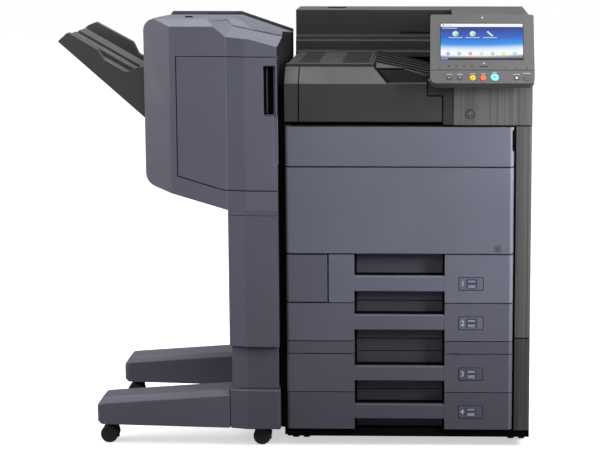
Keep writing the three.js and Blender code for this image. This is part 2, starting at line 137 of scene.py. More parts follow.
class Recipe:
    """A node material being built: keeps the tree, its shader and its object coordinates."""

    def __init__(self, name):
        self.material = bpy.data.materials.new(name)
        self.material.use_nodes = True
        self.tree = self.material.node_tree
        self.shader = self.tree.nodes["Principled BSDF"]
        self.place = self.tree.nodes.new("ShaderNodeTexCoord").outputs["Object"]

    def add(self, kind, **settings):
        node = self.tree.nodes.new(kind)
        for key, value in settings.items():
            setattr(node, key, value)
        return node

    def link(self, source, target):
        self.tree.links.new(source, target)

    def noise(self, scale, detail=3.0, roughness=0.5, stretch=(1, 1, 1)):
        """Fractal noise over the object, `scale` cells to the metre, squeezed by `stretch`."""
        mapping = self.add("ShaderNodeMapping")
        mapping.inputs["Scale"].default_value = stretch
        self.link(self.place, mapping.inputs["Vector"])
        noise = self.add("ShaderNodeTexNoise")
        noise.inputs["Scale"].default_value = scale
        noise.inputs["Detail"].default_value = detail
        noise.inputs["Roughness"].default_value = roughness
        self.link(mapping.outputs["Vector"], noise.inputs["Vector"])
        return noise.outputs["Fac"]

    def ramp(self, value, stops):
        """Colours laid along a 0 to 1 value; `stops` is a list of (position, colour)."""
        node = self.add("ShaderNodeValToRGB")
        while len(node.color_ramp.elements) < len(stops):
            node.color_ramp.elements.new(0.5)
        for element, (position, colour) in zip(node.color_ramp.elements, stops):
            element.position = position
            element.color = colour
        self.link(value, node.inputs["Fac"])
        return node.outputs["Color"]

    def spread(self, value, low, high):
        """Stretches the middle half of a noise onto the range low to high."""
        node = self.add("ShaderNodeMapRange")
        for socket, number in zip(("From Min", "From Max", "To Min", "To Max"), (0.3, 0.7, low, high)):
            node.inputs[socket].default_value = number
        self.link(value, node.inputs["Value"])
        return node.outputs["Result"]

    def bump(self, height, strength, distance_mm):
        node = self.add("ShaderNodeBump")
        node.inputs["Strength"].default_value = strength
        node.inputs["Distance"].default_value = distance_mm * MM
        self.link(height, node.inputs["Height"])
        self.link(node.outputs["Normal"], self.shader.inputs["Normal"])


def shade(colour, factor):
    """A colour made lighter or darker."""
    return (*[min(1.0, c * factor) for c in colour[:3]], 1.0)


# %% [markdown]
# ### Textured cover plastic
#
# The slate and charcoal covers share one recipe. Clouds a hand's width across shift the colour by
# a few hundredths, a second noise moves the gloss, and a pebble finer than a millimetre gives the
# bump. The tool's flow marks are left out because the texture hides them on the real covers.
# Some covers change colour within one piece. The side of the finisher that faces the copier is
# black. The other changes are painted light and shade, and they stay put when the lamps move: the
# tops of the raised housings, the finisher's front fold and the curve of the panels' right edge carry
# painted highlights. The hidden thickness of the drawers and doors has painted shade so that every
# seam reads as a line. The finisher's rear rim, the bridge's sloping front edge, the right column
# below its seam, and the finisher's column, sleeve, base and feet right of the column's bend are in
# painted shade. The drawers darken downward: the lower drawers, trim, switch cover, sleeve, base and
# feet are darker slate copies in painted shade.

# %%
# Moulded plastic
def moulded(name, colour, roughness=0.5, cloud=0.05, grain=1500, depth_mm=0.05, shine=0.5):
    recipe = Recipe(name)
    recipe.shader.inputs["Specular IOR Level"].default_value = shine
    clouds = recipe.noise(4.0, 4)
    tint = recipe.ramp(clouds, [(0.3, shade(colour, 1 - cloud)), (0.7, shade(colour, 1 + cloud))])
    recipe.link(tint, recipe.shader.inputs["Base Color"])
    gloss = recipe.spread(recipe.noise(17.0, 3), roughness - 0.06, roughness + 0.08)
    recipe.link(gloss, recipe.shader.inputs["Roughness"])
    recipe.bump(recipe.noise(grain, 2), 0.35, depth_mm)
    return recipe.material


def zoned(material, tint, **spans):
    """Multiplies a material's colour by a tint where every named coordinate lies in its span."""
    tree = material.node_tree
    shader = tree.nodes["Principled BSDF"]
    body = shader.inputs["Base Color"].links[0].from_socket
    split = tree.nodes.new("ShaderNodeSeparateXYZ")
    tree.links.new(tree.nodes["Texture Coordinate"].outputs["Object"], split.inputs["Vector"])
    mask = None
    for axis, (start, end) in spans.items():
        inside = tree.nodes.new("ShaderNodeMath")
        inside.operation = "COMPARE"
        inside.inputs[1].default_value = (start + end) / 2
        inside.inputs[2].default_value = (end - start) / 2
        tree.links.new(split.outputs[axis], inside.inputs[0])
        if mask is not None:
            both = tree.nodes.new("ShaderNodeMath")
            both.operation = "MULTIPLY"
            tree.links.new(mask, both.inputs[0])
            tree.links.new(inside.outputs[0], both.inputs[1])
            inside = both
        mask = inside.outputs[0]
    mix = tree.nodes.new("ShaderNodeMix")
    mix.data_type = "RGBA"
    mix.blend_type = "MULTIPLY"
    tree.links.new(mask, mix.inputs["Factor"])
    tree.links.new(body, mix.inputs["A"])
    mix.inputs["B"].default_value = (*tint, 1.0)
    tree.links.new(mix.outputs["Result"], shader.inputs["Base Color"])
    return material


FAR = 9.0
TOP_HIGHLIGHT_M = 1.0622            # height above which the raised housings carry a painted highlight
DOCKED_SIDE_M = -0.0343        # row X beyond which the finisher is black
BEND_M = -0.1143               # row X where the column's front turns toward the copier
FOLD_M = (-0.1600, -0.1576)    # row X of the finisher's front fold
BEVEL_M = 0.9098               # height where the bridge's sloping front edge begins
RIM_M = (0.2264, 0.2304)       # row Y of the finisher's rear rim, drawn in shade
HIDDEN_M = -0.2674             # row Y behind which the front panels carry painted shade
PANEL_TURN_M = 0.5270          # row X where the panels' right edge starts to curve back
PANEL_EDGE_M = (0.5330, 0.5400)    # row X of the curve of that edge, drawn as if in full light
PANEL_SKIN_M = -0.2550         # row Y in front of which that curve carries the painted highlight
FOLD_FRONT_M = -0.2620         # row Y in front of which the finisher's fold carries the painted highlight
COLUMN_SHADE_M = 0.60          # height below which the column has painted shade right of its bend
COLUMN_JOINT_M = 0.2802        # height of the seam across the right column
# The tints below, DOCKED_BLACK aside, paint light and shade into the covers.
SEAM_SHADE = (0.56, 0.56, 0.54)
EDGE_LIGHT = (1.6, 1.6, 1.6)
BEND_SHADE = (0.82, 0.82, 0.82)
FOLD_LIGHT = (1.4, 1.4, 1.4)
DOCKED_BLACK = (0.06, 0.06, 0.06)
RIM_SHADE = (0.3, 0.3, 0.3)
SLOPE_SHADE = (0.66, 0.66, 0.66)
TOP_LIGHT = (2.5, 2.5, 2.5)
LOW_COLUMN_SHADE = (0.55, 0.55, 0.54)
SLATE = moulded("slate_cover", srgb(116, 117, 133))
SLATE_SIDE = moulded("slate_side", srgb(112, 113, 128))
# The slates for the drawers below the first are one plastic in painted shade that deepens downward.
SLATE_MIDDLE = moulded("slate_drawer_middle", srgb(104, 104, 119))
SLATE_LOW = moulded("slate_drawer_low", srgb(92, 92, 106))
SLATE_LOWEST = moulded("slate_drawer_lowest", srgb(84, 84, 97))
for material in (SLATE, SLATE_MIDDLE, SLATE_LOW, SLATE_LOWEST):
    # Painted shade in the hidden thickness behind the front faces, so that each seam reads as a dark line.
    zoned(material, SEAM_SHADE, Y=(HIDDEN_M, FAR), X=(-FAR, PANEL_TURN_M))
    # A painted highlight on the curve of the panels' right edge.
    zoned(material, EDGE_LIGHT, X=PANEL_EDGE_M, Y=(-FAR, PANEL_SKIN_M))
# The base, feet and column sleeve use slate darkened as painted shade near the floor.
SLATE_FOOT = moulded("slate_base", srgb(98, 98, 112), 0.38)
SLATE_SLEEVE = moulded("slate_sleeve", srgb(98, 98, 112))
SLATE_FINISHER = moulded("slate_finisher", srgb(110, 111, 126))
SLATE_COLUMN = moulded("slate_column", srgb(110, 110, 126))
for material in (SLATE_COLUMN, SLATE_SLEEVE, SLATE_FOOT):
    # Painted shade right of the column's bend, below COLUMN_SHADE_M.
    zoned(material, BEND_SHADE, X=(BEND_M, FAR), Z=(-FAR, COLUMN_SHADE_M))
for material in (SLATE_FINISHER, SLATE_COLUMN):
    # A painted highlight along the finisher's front fold.
    zoned(material, FOLD_LIGHT, X=FOLD_M, Y=(-FAR, FOLD_FRONT_M))
    zoned(material, DOCKED_BLACK, X=(DOCKED_SIDE_M, FAR))
# Painted shade on the finisher's rear rim.
zoned(SLATE_FINISHER, RIM_SHADE, Y=RIM_M)
# Painted shade on the bridge's sloping front edge.
CHARCOAL = zoned(moulded("charcoal_cover", srgb(61, 61, 62), 0.48), SLOPE_SHADE, Z=(BEVEL_M, FAR))
# The tops of the raised housings carry a painted highlight.
CHARCOAL_TOP = zoned(moulded("charcoal_housing", srgb(50, 50, 51)), TOP_LIGHT, Z=(TOP_HIGHLIGHT_M, FAR))
LID_GREY = moulded("lid_grey", srgb(58, 58, 59), 0.5)
BRIDGE_BLACK = moulded("bridge_dark", srgb(38, 38, 39), 0.5)
TRAY_GREY = moulded("tray_grey", srgb(88, 88, 88), 0.5)
PANEL_GREY = moulded("panel_grey", srgb(96, 96, 97), 0.42, 0.03, 1800, 0.03)
KEY_GREY = moulded("key_grey", srgb(92, 92, 93), 0.35, 0.04, 2500, 0.02)
CARD_SLATE = moulded("card_slate", srgb(74, 75, 92), 0.35, 0.04, 2500, 0.02)
INNER_BLACK = moulded("inner_black", srgb(30, 30, 31), 0.6)
VOID_BLACK = moulded("void_black", srgb(13, 13, 14), 0.9, shine=0.04)
KEY_YELLOW = moulded("key_yellow", srgb(228, 190, 52), 0.3, 0.04, 2500, 0.02)
KEY_ORANGE = moulded("key_orange", srgb(236, 118, 78), 0.3, 0.04, 2500, 0.02)
KEY_CYAN = moulded("key_cyan", srgb(134, 214, 230), 0.3, 0.04, 2500, 0.02)
PALE_MARK = moulded("pale_mark", srgb(214, 216, 226), 0.5, 0.03, 2500, 0.01)
PRINT_MARK = moulded("print_mark", srgb(176, 180, 206), 0.5, 0.03, 2500, 0.01)


# %% [markdown]
# ### Streaked plates, plated steel and tyres
#
# The corner column and the plate under the touch panel carry an upright streak, pressed into the
# plastic like brushed metal. Noise squeezed almost flat in one direction makes such streaks: it
# changes quickly across the plate and hardly at all up it. The plated drawer trays and brackets
# use the same idea turned along their depth, with a metal shader below it.

# %%
# Streaks, steel and rubber
def streaked(name, dark, light, roughness=0.42):
    recipe = Recipe(name)
    fine = recipe.noise(420.0, 2, 0.6, (1, 1, 0.003))
    broad = recipe.noise(90.0, 2, 0.6, (1, 1, 0.004))
    blend = recipe.add("ShaderNodeMath", operation="MULTIPLY_ADD")
    blend.inputs[1].default_value = 0.55
    recipe.link(fine, blend.inputs[0])
    half = recipe.add("ShaderNodeMath", operation="MULTIPLY")
    half.inputs[1].default_value = 0.45
    recipe.link(broad, half.inputs[0])
    recipe.link(half.outputs[0], blend.inputs[2])
    recipe.link(recipe.ramp(blend.outputs[0], [(0.36, dark), (0.64, light)]),
                recipe.shader.inputs["Base Color"])
    recipe.link(recipe.spread(fine, roughness - 0.06, roughness + 0.08), recipe.shader.inputs["Roughness"])
    recipe.bump(fine, 0.3, 0.08)
    return recipe.material


def plated(name, colour, roughness=0.38):
    recipe = Recipe(name)
    brushed = recipe.noise(500.0, 3, 0.6, (1, 0.02, 1))
    recipe.link(recipe.ramp(brushed, [(0.3, shade(colour, 0.86)), (0.7, shade(colour, 1.1))]),
                recipe.shader.inputs["Base Color"])
    recipe.shader.inputs["Metallic"].default_value = 0.85
    recipe.link(recipe.spread(recipe.noise(40.0, 4), roughness - 0.08, roughness + 0.12),
                recipe.shader.inputs["Roughness"])
    recipe.bump(brushed, 0.15, 0.03)
    return recipe.material


def tyre(name, colour):
    recipe = Recipe(name)
    dust = recipe.noise(60.0, 5, 0.65)
    recipe.link(recipe.ramp(dust, [(0.35, colour), (0.75, shade(colour, 2.2))]),
                recipe.shader.inputs["Base Color"])
    recipe.link(recipe.spread(dust, 0.5, 0.8), recipe.shader.inputs["Roughness"])
    recipe.bump(recipe.noise(900.0, 3), 0.4, 0.08)
    return recipe.material


STREAKED = streaked("streaked_plate", srgb(80, 80, 80), srgb(117, 117, 117))
STREAKED_COLUMN = streaked("streaked_column", srgb(72, 72, 72), srgb(112, 112, 112))
# Below its seam the right column is darkened as painted shade.
zoned(STREAKED_COLUMN, LOW_COLUMN_SHADE, Z=(-FAR, COLUMN_JOINT_M))
STREAKED_BUTTON = streaked("streaked_button", srgb(66, 66, 66), srgb(98, 98, 98))
STEEL = plated("plated_steel", srgb(168, 168, 172))
FRAME_PAINT = moulded("frame_paint", srgb(58, 58, 62), 0.4, 0.08, 700, 0.05)
RUBBER = tyre("caster_rubber", srgb(34, 34, 35))

FINISH = {
    "left_side": SLATE_SIDE, "upper_right": SLATE_SIDE, "lower_right": SLATE_SIDE,
    "bypass_tray": SLATE_SIDE,
    # The darker slates on the lower drawers, trim, switch cover, sleeve, base and feet are painted shade.
    "drawer_1_front": SLATE, "drawer_2_front": SLATE_MIDDLE, "drawer_3_front": SLATE_LOW,
    "drawer_4_front": SLATE_LOWEST, "mid_trim": SLATE_LOW, "front_door": SLATE, "upper_front": SLATE,
    "switch_cover": SLATE_MIDDLE, "finisher_body": SLATE_FINISHER, "finisher_door": SLATE_FINISHER,
    "finisher_top": SLATE_FINISHER, "finisher_column": SLATE_COLUMN, "column_sleeve": SLATE_SLEEVE,
    "base_beam": SLATE_FOOT, "front_foot": SLATE_FOOT, "rear_foot": SLATE_SLEEVE,
    "bridge_front": CHARCOAL, "bridge_lid": LID_GREY, "bridge_unit": BRIDGE_BLACK,
    "output_tray": BRIDGE_BLACK, "rear_housing": CHARCOAL_TOP, "tower_housing": CHARCOAL_TOP,
    "tower_front": STREAKED, "right_column": STREAKED_COLUMN, "power_button": STREAKED_BUTTON,
    "panel_housing": PANEL_GREY, "touch_screen": INNER_BLACK, "key_reset": KEY_YELLOW,
    "key_stop": KEY_ORANGE,
    "key_start": KEY_CYAN, "key_": KEY_GREY, "stacking_tray": TRAY_GREY, "toner_rack": INNER_BLACK,
    "imaging_unit": CHARCOAL, "fuser_unit": STEEL, "stapler_unit": STEEL, "drawer_": STEEL,
    "finisher_fork": INNER_BLACK, "finisher_wheel": RUBBER, "main_wheel": RUBBER,
    "base_plinth": VOID_BLACK, "main_frame": FRAME_PAINT,
}
for name, node in NODES.items():
    finish = next(material for key, material in FINISH.items() if name.startswith(key))
    node.data.materials.clear()
    node.data.materials.append(finish)
print("materials:", len(bpy.data.materials))


# %% [markdown]
# ## Small parts as lofted slabs
#
# Labels, marks, lamps and louvres are all small plates with a rounded outline. One surface makes
# them: the outline is a superellipse, |u/a|^p + |v/b|^p = 1, which is a circle for p = 2 and a
# rounded rectangle for p near 8. Rings of that outline rise along the plate's normal, the last ones
# drawn inward on a quarter circle, and a fan of triangles closes both ends.

# %%
# Superellipse slab on any plane
class Plane:
    """A drawing plane: an origin and the directions u, v and outward, all in metres."""

    def __init__(self, origin, u, v):
        self.origin, self.u, self.v = (np.array(a, dtype=float) for a in (origin, u, v))
        self.out = np.cross(self.u, self.v)

    def place(self, u, v, out):
        return self.origin + np.multiply.outer(u, self.u) + np.multiply.outer(v, self.v) + np.multiply.outer(
            out, self.out)


def slab(plane, centre_mm, half_mm, low_mm, high_mm, power=8.0, edge_mm=0.15, count=28):
    """Vertices and faces of a superellipse plate from low to high above its plane."""
    angle = np.linspace(0, 2 * np.pi, count, endpoint=False) + np.pi / count
    cosine, sine = np.cos(angle), np.sin(angle)
    outline_u = np.sign(cosine) * np.abs(cosine) ** (2 / power)
    outline_v = np.sign(sine) * np.abs(sine) ** (2 / power)
    turn = np.linspace(0, np.pi / 2, 4)
    inset = np.concatenate([[0.0], edge_mm * (1 - np.cos(turn))])
    rise = np.concatenate([[low_mm], high_mm - edge_mm + edge_mm * np.sin(turn)])
    u = centre_mm[0] + (half_mm[0] - inset)[:, None] * outline_u
    v = centre_mm[1] + (half_mm[1] - inset)[:, None] * outline_v
    points = plane.place(u * MM, v * MM, np.repeat(rise[:, None] * MM, count, axis=1)).reshape(-1, 3)
    ends = plane.place(*(np.array(pair) * MM for pair in (
        [centre_mm[0]] * 2, [centre_mm[1]] * 2, [low_mm, high_mm])))
    rings = len(rise)
    here = (np.arange(rings - 1)[:, None] * count + np.arange(count)).ravel()
    after = (np.arange(rings - 1)[:, None] * count + (np.arange(count) + 1) % count).ravel()
    walls = np.stack([here, after, after + count, here + count], axis=1)
    first, following = np.arange(count), (np.arange(count) + 1) % count
    last = (rings - 1) * count
    bottom = np.stack([following, first, np.full(count, rings * count)], axis=1)
    top = np.stack([last + first, last + following, np.full(count, rings * count + 1)], axis=1)
    return np.vstack([points, ends]), [walls, bottom, top]


def build(name, parts, material, body):
    """One object from several slabs, riding on a body of the frame."""
    vertices, faces, used = [], [], 0
    for points, groups in parts:
        vertices.append(points)
        faces += [face for group in groups for face in (group + used).tolist()]
        used += len(points)
    mesh = bpy.data.meshes.new(name)
    mesh.from_pydata(np.vstack(vertices).tolist(), [], faces)
    mesh.materials.append(material)
    piece = bpy.data.objects.new(name, mesh)
    bpy.context.collection.objects.link(piece)
    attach(piece, body)
    return piece


def node_box(name):
    """Lowest and highest corner of a frame node, in millimetres."""
    low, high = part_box(name)
    return np.array(low) / MM, np.array(high) / MM


def front_plane(name):
    """Plane on the front face of a node: u to the right and v up, in row millimetres."""
    return Plane((0, node_box(name)[0][1] * MM, 0), (1, 0, 0), (0, 0, 1))


# %% [markdown]
# ## Drawer labels
#
# Each drawer carries a shallow label window right of its grip: the drawer's number and a small
# card that shows the sheet size. The card's print is drawn here as plain bars, a stack of sheets
# lying one above the other, because only the numbers are worth reading.

# %%
# Label window, card and number on each drawer
LABEL_X = 438.0          # middle of the window
LABEL_HALF = (31.0, 17.0)
DIGIT_HEIGHT_MM = 13.0


def digit(name, text, plane, centre_mm, height_mm, material, body):
    """A raised figure from the built-in font, turned into a mesh before it is placed."""
    curve = bpy.data.curves.new(name, "FONT")
    curve.body = text
    curve.size = height_mm * MM / 0.7
    curve.extrude = 0.00015
    curve.align_x = "CENTER"
    curve.align_y = "CENTER"
    letter = bpy.data.objects.new(name + "_curve", curve)
    bpy.context.collection.objects.link(letter)
    bpy.context.view_layer.update()
    mesh = bpy.data.meshes.new_from_object(letter.evaluated_get(bpy.context.evaluated_depsgraph_get()))
    bpy.data.objects.remove(letter)
    flat = np.empty(len(mesh.vertices) * 3)
    mesh.vertices.foreach_get("co", flat)
    flat = flat.reshape(-1, 3)
    placed = plane.place(flat[:, 0] + centre_mm[0] * MM, flat[:, 1] + centre_mm[1] * MM, flat[:, 2] + 0.0008)
    mesh.vertices.foreach_set("co", placed.ravel())
    mesh.materials.clear()
    mesh.materials.append(material)
    mesh.update()
    piece = bpy.data.objects.new(name, mesh)
    bpy.context.collection.objects.link(piece)
    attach(piece, body)


for number in range(1, 5):
    node = f"drawer_{number}_front"
    low, high = node_box(node)
    grip_middle = low[2] + (0.40 if number == 1 else 0.48) * (high[2] - low[2])
    plane = front_plane(node)
    middle = (LABEL_X, grip_middle)
    body = f"drawer_{number}"
    build(f"label_{number}_recess", [slab(plane, middle, LABEL_HALF, -0.4, 0.25, 16)], INNER_BLACK, body)
    # The lower two label plates take the sleeve's darker slate, which is painted shade.
    build(f"label_{number}_plate", [slab(plane, middle, (29.2, 15.2), 0.2, 0.6, 16, 0.3)],
          SLATE_SIDE if number < 3 else SLATE_SLEEVE, body)
    card = (LABEL_X + 1.5, grip_middle)
    build(f"label_{number}_card", [slab(plane, card, (13.5, 12), 0.5, 0.75, 14)], CARD_SLATE, body)
    bars = [
        slab(plane, (card[0], grip_middle + height), (half, 0.8), 0.7, 0.9, 6, 0.1, 16)
        for height, half in ((7.4, 8.5), (4.8, 10), (-3.8, 10), (-6.4, 8.5), (-9.0, 9.5))
    ]
    build(f"label_{number}_print", bars, PRINT_MARK, body)
    digit(f"label_{number}_number", str(number), plane, (LABEL_X - 20.5, grip_middle), DIGIT_HEIGHT_MM,
          PALE_MARK, body)

door_plane = front_plane("front_door")
mark = (502.5, 505.5)
build("door_mark_frame", [slab(door_plane, mark, (7.5, 7.5), -0.3, 0.3, 14)], INNER_BLACK, "front_door")
build("door_mark_plate", [slab(door_plane, mark, (6.3, 6.3), 0.2, 0.45, 14)], SLATE_SIDE, "front_door")
build("door_mark_sign", [slab(door_plane, (502.5, 507.5), (3.6, 1.1), 0.4, 0.6, 6, 0.1, 16),
                         slab(door_plane, (502.5, 503.5), (3.6, 1.1), 0.4, 0.6, 6, 0.1, 16)],
      INNER_BLACK, "front_door")
print("label windows at x", LABEL_X)


# %% [markdown]
# ## Shadow lines round the grips
#
# The grip bar bridges a channel 34 mm deep. Shade makes the channel darkest at its ends and just
# above the bar, so thin black strips on its back paint that shade: one at each bar's top and one at
# each end. The same black draws the seams at the bridge's left end and across the right column, and
# it lines the slot beside the upper front cover.

# %%
# Black strips of painted shade in the channel, and black in narrow seams
FRONT_MM = -270.0                  # row Y of the drawers' front faces
CHANNEL_X = (150.2, 373.2)         # row X of the channel's sides
CHANNEL_DEPTH_MM, STRIP_HALF_MM, LATCH_DEPTH_MM = 34.0, 2.6, 12.0
GRIP_TOPS = {"drawer_1": 437.2, "drawer_2": 339.6, "drawer_3": 209.8, "drawer_4": 112.7}
channel_back = Plane((0, (FRONT_MM + CHANNEL_DEPTH_MM) * MM, 0), (1, 0, 0), (0, 0, 1))
middle_x, half_x = sum(CHANNEL_X) / 2, (CHANNEL_X[1] - CHANNEL_X[0]) / 2


def end_joints(node):
    """Upright strips of painted shade at both ends of the channel, over a node's whole height."""
    low, high = node_box(node)
    middle, half = (low[2] + high[2]) / 2, (high[2] - low[2]) / 2
    return [slab(channel_back, (x, middle), (STRIP_HALF_MM, half), -0.3, 0.3, 30, 0.1, 16)
            for x in (CHANNEL_X[0] + STRIP_HALF_MM, CHANNEL_X[1] - STRIP_HALF_MM)]


for body, top in GRIP_TOPS.items():
    mouth = slab(channel_back, (middle_x, top - 2.5), (half_x, 3.5), -0.3, 0.35, 40, 0.1, 40)
    build(f"{body}_channel_shade", [mouth] + end_joints(f"{body}_front"), VOID_BLACK, body)
build("trim_channel_shade", end_joints("mid_trim"), VOID_BLACK, "machine")

SEAM_X, BEVEL_RUN, BEVEL_RISE = 16.4, 45.0, 38.0
cover_low, cover_high = node_box("bridge_front_cover")
steep = math.hypot(BEVEL_RUN, BEVEL_RISE)
bevel_face = Plane((0, cover_low[1] * MM, (cover_high[2] - BEVEL_RISE) * MM), (1, 0, 0),
                   (0, BEVEL_RUN / steep, BEVEL_RISE / steep))
seam_floor = Plane((0, (cover_low[1] + 3.6) * MM, 0), (1, 0, 0), (0, 0, 1))
front_middle = (cover_low[2] + cover_high[2] - BEVEL_RISE) / 2
front_half = (cover_high[2] - BEVEL_RISE - cover_low[2]) / 2
build("bridge_seam", [slab(seam_floor, (SEAM_X, front_middle), (1.6, front_half), -0.6, 0.3, 30, 0.1, 16),
                      slab(bevel_face, (SEAM_X, steep / 2), (1.4, steep / 2 - 0.5), -0.3, 0.1, 30, 0.05, 16)],
      VOID_BLACK, "machine")

LATCH = (541.0, 771.5)             # row X and Z of the slot's middle
column_low, column_high = node_box("right_column")
column_plane = front_plane("right_column")
build("column_seam", [slab(column_plane, ((column_low[0] + column_high[0]) / 2 - 2, COLUMN_JOINT_M / MM),
                           ((column_high[0] - column_low[0]) / 2 - 2, 1.5), -0.5, 0.15, 30, 0.05, 20)],
      VOID_BLACK, "machine")
latch_floor = Plane((0, (FRONT_MM + LATCH_DEPTH_MM) * MM, 0), (1, 0, 0), (0, 0, 1))
build("cover_latch", [slab(latch_floor, LATCH, (3.4, 24.5), -0.4, 6.5, 12, 0.3, 20)], VOID_BLACK,
      "upper_front_cover")
print("shadow strips placed")


# %% [markdown]
# ## The lit display
#
# The display is a flat lit picture under glass. It is a fine grid of points whose colour is worked
# out by formula: a white title band, a sky that fades from deep blue to pale along a curved horizon,
# three round icons near the top, seven coloured dots along the bottom, and a dark strip below them.

# %%
# Picture on the touch screen
PANEL_FOOT = (-0.330, 0.918)       # row Y and Z of the panel face's bottom edge
PANEL_RISE = (0.541, 0.841)
PANEL_SHIFT = 0.2832               # row X of the copier's middle line
panel = Plane((PANEL_SHIFT, *PANEL_FOOT), (1, 0, 0), (0, *PANEL_RISE))
SCREEN_LEFT, SCREEN_RIGHT, SCREEN_LOW, SCREEN_HIGH = 78.0, 276.0, 64.0, 162.0


def picture(u, v):
    """Linear colour of the display at u across and v up, both from 0 to 1."""
    stops = np.array([0.0, 0.07, 0.12, 0.22, 0.31, 0.41, 0.62, 0.88, 1.0])
    height = v - 0.10 * (u - 0.35) ** 2
    red = np.interp(height, stops, [0.10, 0.30, 0.95, 0.95, 0.62, 0.02, 0.01, 0.01, 0.01])
    green = np.interp(height, stops, [0.11, 0.32, 0.97, 0.97, 0.76, 0.30, 0.11, 0.03, 0.03])
    blue = np.interp(height, stops, [0.13, 0.36, 1.00, 1.00, 0.97, 0.84, 0.55, 0.24, 0.22])
    colour = np.stack([red, green, blue], axis=-1)
    width = (SCREEN_RIGHT - SCREEN_LEFT) / (SCREEN_HIGH - SCREEN_LOW)

    def paint(mask, value):
        colour[mask] = value

    def disc(cu, cv, radius):
        return ((u - cu) * width) ** 2 + (v - cv) ** 2 < radius ** 2

    for cu in (0.18, 0.39):
        paint(disc(cu, 0.72, 0.072), (0.72, 0.90, 0.76))
        paint(disc(cu + 0.014, 0.70, 0.040), (0.32, 0.72, 0.36))
    pen = np.abs((u - 0.60) * width + (v - 0.72)) < 0.03
    paint(pen & (np.abs((u - 0.60) * width - (v - 0.72)) < 0.13), (0.72, 0.90, 0.95))
    for cu in (0.18, 0.39, 0.60):
        paint((np.abs(u - cu) < 0.085) & (np.abs(v - 0.612) < 0.014), (0.50, 0.58, 0.78))
    hues = [(0.10, 0.24, 0.75), (0.12, 0.60, 0.18), (0.85, 0.16, 0.26), (0.80, 0.62, 0.36),
            (0.45, 0.45, 0.50), (0.80, 0.78, 0.10), (0.10, 0.75, 0.80)]
    for cu, hue in zip(np.linspace(0.09, 0.90, len(hues)), hues):
        paint(disc(cu, 0.165, 0.046), hue)
        paint(disc(cu, 0.165, 0.024), tuple(0.5 + 0.5 * c for c in hue))
    paint(v < 0.045, (0.02, 0.02, 0.025))
    paint((v < 0.05) & (u < 0.09), (0.28, 0.20, 0.62))
    paint(v > 0.915, (0.95, 0.95, 0.96))
    paint((v > 0.935) & (v < 0.975) & (u > 0.02) & (u < 0.045), (0.30, 0.32, 0.36))
    paint((v > 0.945) & (v < 0.965) & (u > 0.06) & (u < 0.14), (0.55, 0.57, 0.60))
    paint((v > 0.865) & (v < 0.885) & (u > 0.02) & (u < 0.20), (0.45, 0.55, 0.80))
    return colour


def display(columns=240, rows=120):
    u, v = np.meshgrid(np.linspace(0, 1, columns), np.linspace(0, 1, rows))
    across = SCREEN_LEFT + u * (SCREEN_RIGHT - SCREEN_LEFT)
    up = SCREEN_LOW + v * (SCREEN_HIGH - SCREEN_LOW)
    points = panel.place(across * MM, up * MM, np.full(u.shape, -0.00022)).reshape(-1, 3)
    corner = (np.arange(rows - 1)[:, None] * columns + np.arange(columns - 1)).ravel()
    quads = np.stack([corner, corner + 1, corner + columns + 1, corner + columns], axis=1)
    return points, quads, picture(u.ravel(), v.ravel())


points, quads, shades = display()
mesh = bpy.data.meshes.new("display_picture")
mesh.from_pydata(points.tolist(), [], quads.tolist())
paint_layer = mesh.color_attributes.new("picture", "FLOAT_COLOR", "POINT")
paint_layer.data.foreach_set("color", np.column_stack([shades, np.ones(len(shades))]).ravel())
lit = Recipe("lit_display")
attribute = lit.add("ShaderNodeVertexColor", layer_name="picture")
lit.link(attribute.outputs["Color"], lit.shader.inputs["Emission Color"])
lit.shader.inputs["Emission Strength"].default_value = 0.95
lit.shader.inputs["Base Color"].default_value = (0.01, 0.01, 0.012, 1)
lit.link(lit.spread(lit.noise(30.0, 4), 0.12, 0.22), lit.shader.inputs["Roughness"])
mesh.materials.append(lit.material)
screen = bpy.data.objects.new("display_picture", mesh)
bpy.context.collection.objects.link(screen)
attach(screen, "touch_panel")
print("display points:", len(points))


# %% [markdown]
# ## Lamps and marks on the touch panel
#
# Two pale lamps sit above and below the display. Four dark membrane marks, a slot and four small
# ticks lie under it, and a dark line splits off the row of round keys, which get raised faces. One
# more small lamp, in a dark ring, lies left of the last key. Thin pale bars stand for the captions.

# %%
# Lamps, membrane marks and key rings
LOGIN_LAMP = (259.7, 14.5)
lamps = [slab(panel, (178.5, 178.5), (2.6, 2.2), -0.2, 0.7, 2, 0.4),
         slab(panel, (182, 54), (2.2, 1.6), -0.2, 0.5, 2),
         slab(panel, LOGIN_LAMP, (3.6, 3.6), 0.3, 1.2, 2, 0.5)]
build("panel_lamps", lamps, PALE_MARK, "touch_panel")
marks = [slab(panel, (x, 46.5), (2.6, 1.5), -0.2, 0.35, 3, 0.1, 20) for x in (97.5, 116, 134.5, 153)]
marks += [slab(panel, (181, 45), (10, 1.3), -0.2, 0.35, 8, 0.1, 20)]
marks += [slab(panel, (x, 40.0), (1.2, 2.0), -0.2, 0.3, 3, 0.1, 16) for x in (76, 233, 259, 285)]
marks += [slab(panel, LOGIN_LAMP, (6.4, 6.4), -0.2, 0.35, 2, 0.15, 28)]
marks += [slab(panel, (178, 35.5), (124.6, 0.85), -0.8, 0.1, 30, 0.05, 40)]
build("panel_marks", marks, INNER_BLACK, "touch_panel")

